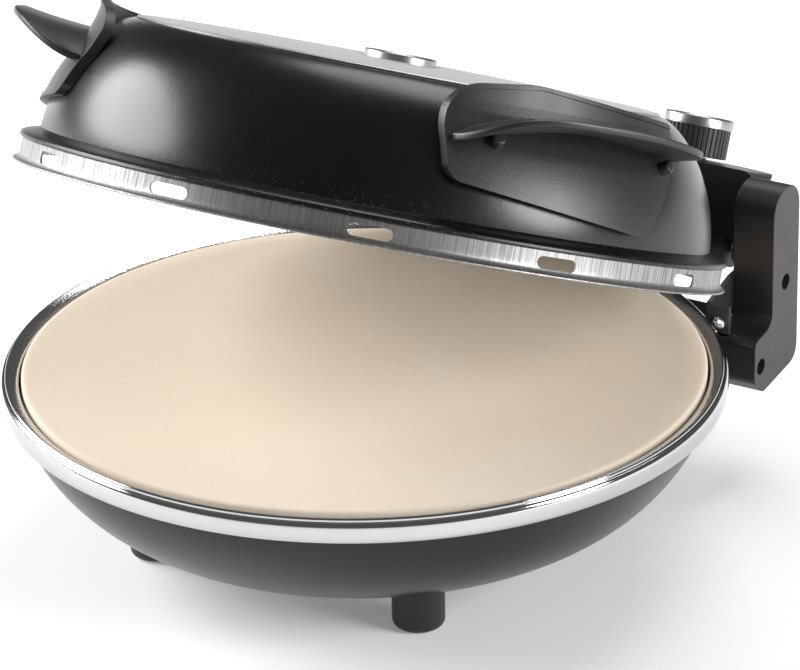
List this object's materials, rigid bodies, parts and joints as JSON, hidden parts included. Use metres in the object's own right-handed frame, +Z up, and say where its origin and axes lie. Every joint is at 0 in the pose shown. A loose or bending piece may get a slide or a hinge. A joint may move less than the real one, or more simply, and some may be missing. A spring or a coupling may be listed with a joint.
{
  "type": "electric pizza maker",
  "caption": "Electric pizza maker: a round baking stone in a black footed bowl with a bright rim, under a hinged dome lid with two side grips, a centre knob and a rear timer housing.",
  "frame": {"origin": "on the bowl's axis, at the height of the table that the feet stand on", "axes": "+X along the hinge to the right seen from the front, +Y from the front to the hinge, +Z up"},
  "size_m": [0.349, 0.3913, 0.2701],
  "materials": {
    "black_lacquer": "satin",
    "bright_rim": "polished",
    "stone": "matte ceramic stone",
    "reflector_sheet": "satin",
    "element_tube": "oxidised",
    "zinc_steel": "zinc plated",
    "ceramic": "glazed ceramic",
    "foot_rubber": "matte",
    "black_steel": "satin",
    "arm_moulding": "fine texture",
    "handle_moulding": "fine texture",
    "housing_moulding": "semi-gloss",
    "band_steel": "brushed",
    "plate_steel": "brushed",
    "knob_moulding": "ribbed",
    "knob_chrome": "polished",
    "control_body": "moulded"
  },
  "bodies": {
    "base": {"base_bowl": "black_lacquer", "trim_ring": "bright_rim", "baking_stone": "stone", "lower_reflector": "reflector_sheet", "lower_element": "element_tube", "lower_element_posts": "zinc_steel", "lower_insulators": "ceramic", "foot_front_left": "foot_rubber", "foot_front_right": "foot_rubber", "foot_rear_left": "foot_rubber", "foot_rear_right": "foot_rubber", "foot_screws": "zinc_steel", "hinge_bracket": "black_steel", "bracket_spacers": "zinc_steel", "bracket_screws": "zinc_steel", "arm_left": "arm_moulding", "arm_right": "arm_moulding", "arm_screws": "zinc_steel", "hinge_pins": "zinc_steel"},
    "lid": {"lid_dome": "black_lacquer", "lid_band": "band_steel", "lid_plate": "plate_steel", "upper_reflector": "reflector_sheet", "upper_element": "element_tube", "upper_element_hangers": "zinc_steel", "upper_insulators": "ceramic", "handle_left": "handle_moulding", "handle_right": "handle_moulding", "handle_screws": "zinc_steel", "rear_housing": "housing_moulding", "housing_cover": "housing_moulding", "cover_screws": "zinc_steel", "lid_hinge_bracket": "black_steel", "strap_screws": "zinc_steel", "cord_gland": "housing_moulding", "thermostat": "control_body", "timer_drive": "control_body"},
    "centre_knob": {"centre_knob_body": "knob_moulding", "centre_knob_ring": "knob_chrome", "centre_spindle": "zinc_steel"},
    "timer_knob": {"timer_knob_body": "knob_moulding", "timer_knob_ring": "knob_chrome", "timer_spindle": "zinc_steel"}
  },
  "joints": [
    {"name": "lid_hinge", "type": "hinge", "parent": "base", "child": "lid", "pos_m": [0, 0.168, 0.1055], "axis": [-1, 0, 0], "range_deg": [-22.6, 55]},
    {"name": "centre_knob_turn", "type": "hinge", "parent": "lid", "child": "centre_knob", "pos_m": [0, 0.03385, 0.22038], "axis": [0, -0.3843, -0.9232], "range_deg": [0, 270]},
    {"name": "timer_knob_turn", "type": "hinge", "parent": "lid", "child": "timer_knob", "pos_m": [0.067, 0.20033, 0.14024], "axis": [0, -0.3843, -0.9232], "range_deg": [0, 300]}
  ]
}
